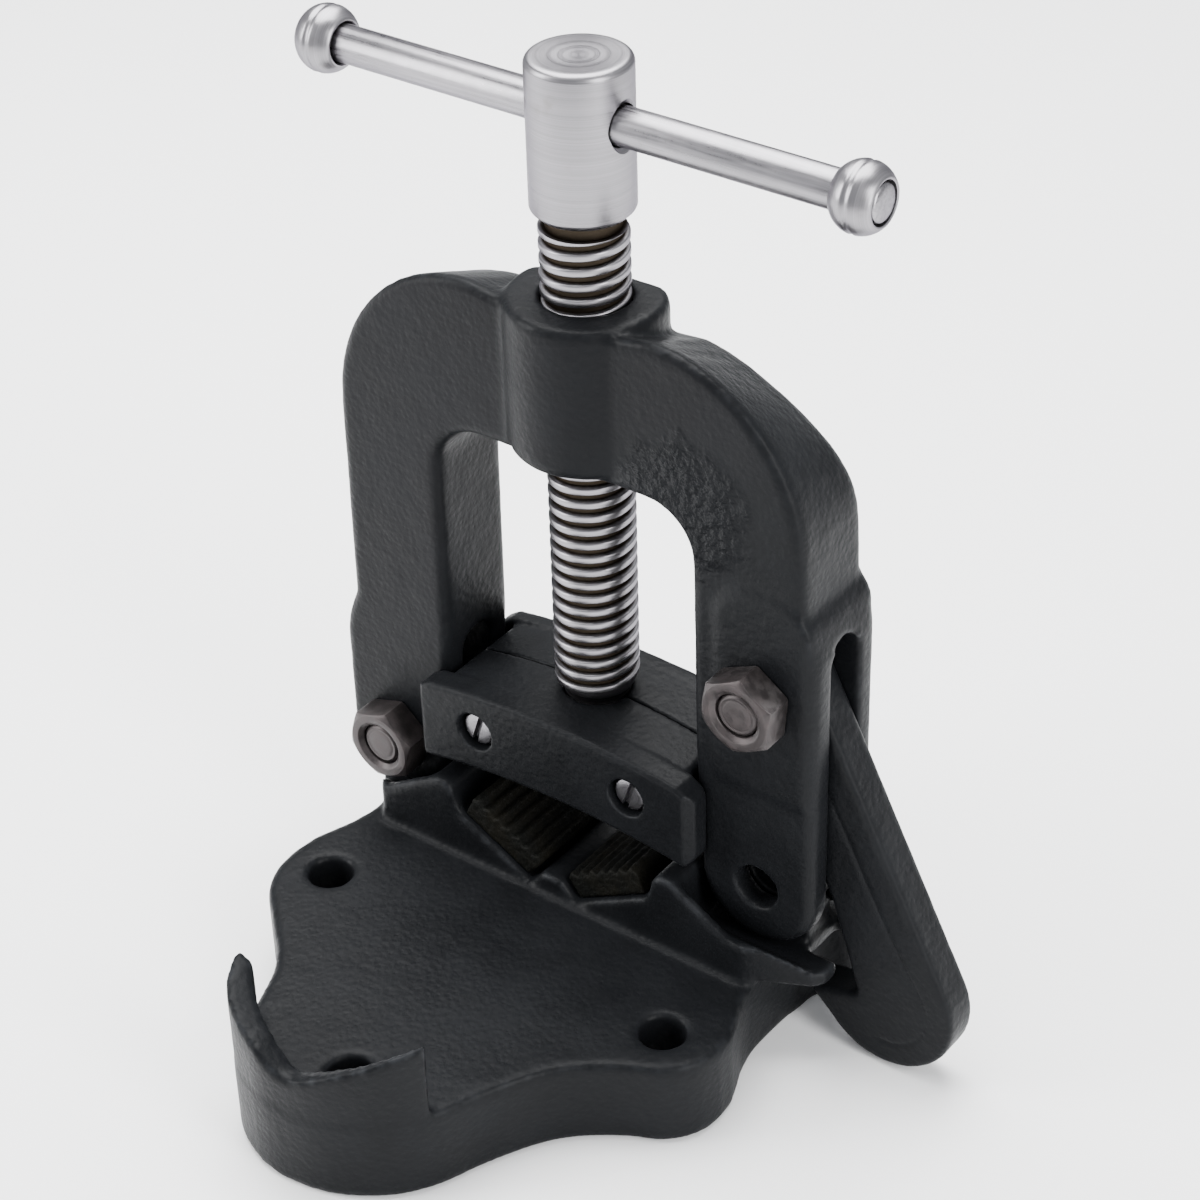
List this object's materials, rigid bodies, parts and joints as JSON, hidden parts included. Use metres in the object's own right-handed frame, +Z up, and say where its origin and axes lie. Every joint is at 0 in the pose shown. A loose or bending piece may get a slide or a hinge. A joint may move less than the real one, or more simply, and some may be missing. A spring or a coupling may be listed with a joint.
{
  "type": "bench yoke pipe vise",
  "caption": "Bench pipe vise: hinged cast yoke with a screw-driven sliding jaw over a vee saddle, held shut by a swinging latch hook.",
  "frame": {"origin": "on the bench plane, under the screw's axis", "axes": "+X across the yoke from the hinge to the latch hook, +Y along the pipe away from the horn, +Z up the screw"},
  "size_m": [0.1936, 0.1552, 0.2558],
  "materials": {
    "black_casting_paint": "satin black enamel over a sand-cast surface",
    "bright_steel": "turned bare steel",
    "black_oxide_steel": "black oxide, slightly brown",
    "hardened_jaw_steel": "dark hardened, rough and oiled"
  },
  "bodies": {
    "base": {"base_casting": "black_casting_paint", "lower_jaw_left": "hardened_jaw_steel", "lower_jaw_right": "hardened_jaw_steel", "lower_jaw_screw_left": "black_oxide_steel", "lower_jaw_screw_right": "black_oxide_steel"},
    "yoke": {"yoke": "black_casting_paint", "hinge_bolt": "black_oxide_steel", "hinge_nut": "black_oxide_steel", "hook_bolt": "black_oxide_steel", "hook_nut": "black_oxide_steel"},
    "hook": {"hook": "black_casting_paint"},
    "sliding_jaw": {"jaw_carrier_front": "black_casting_paint", "jaw_carrier_back": "black_casting_paint", "upper_jaw": "hardened_jaw_steel", "carrier_screw_left": "bright_steel", "carrier_screw_right": "bright_steel"},
    "screw": {"spindle": "bright_steel"},
    "bar": {"tommy_bar": "bright_steel", "bar_knob_left": "bright_steel", "bar_knob_right": "bright_steel"}
  },
  "joints": [
    {"name": "yoke_hinge", "type": "hinge", "parent": "base", "child": "yoke", "pos_m": [-0.0582, 0, 0.0485], "axis": [0, -1, 0], "range_deg": [0, 90]},
    {"name": "hook_pivot", "type": "hinge", "parent": "yoke", "child": "hook", "pos_m": [0.0582, 0, 0.1078], "axis": [0, -1, 0], "range_deg": [-1.7, 65]},
    {"name": "jaw_slide", "type": "slide", "parent": "yoke", "child": "sliding_jaw", "axis": [0, 0, 1], "range_m": [-0.0045, 0.058]},
    {"name": "spindle_spin", "type": "hinge", "parent": "sliding_jaw", "child": "screw", "pos_m": [0, 0, 0.125], "axis": [0, 0, 1], "range_deg": [-405.5, 5220.5]},
    {"name": "bar_slide", "type": "slide", "parent": "screw", "child": "bar", "axis": [1, 0, 0], "range_m": [-0.056, 0.056]}
  ],
  "couplings": [
    {"joint": "spindle_spin", "follows": "jaw_slide", "rad_per_m": 1570.8}
  ]
}
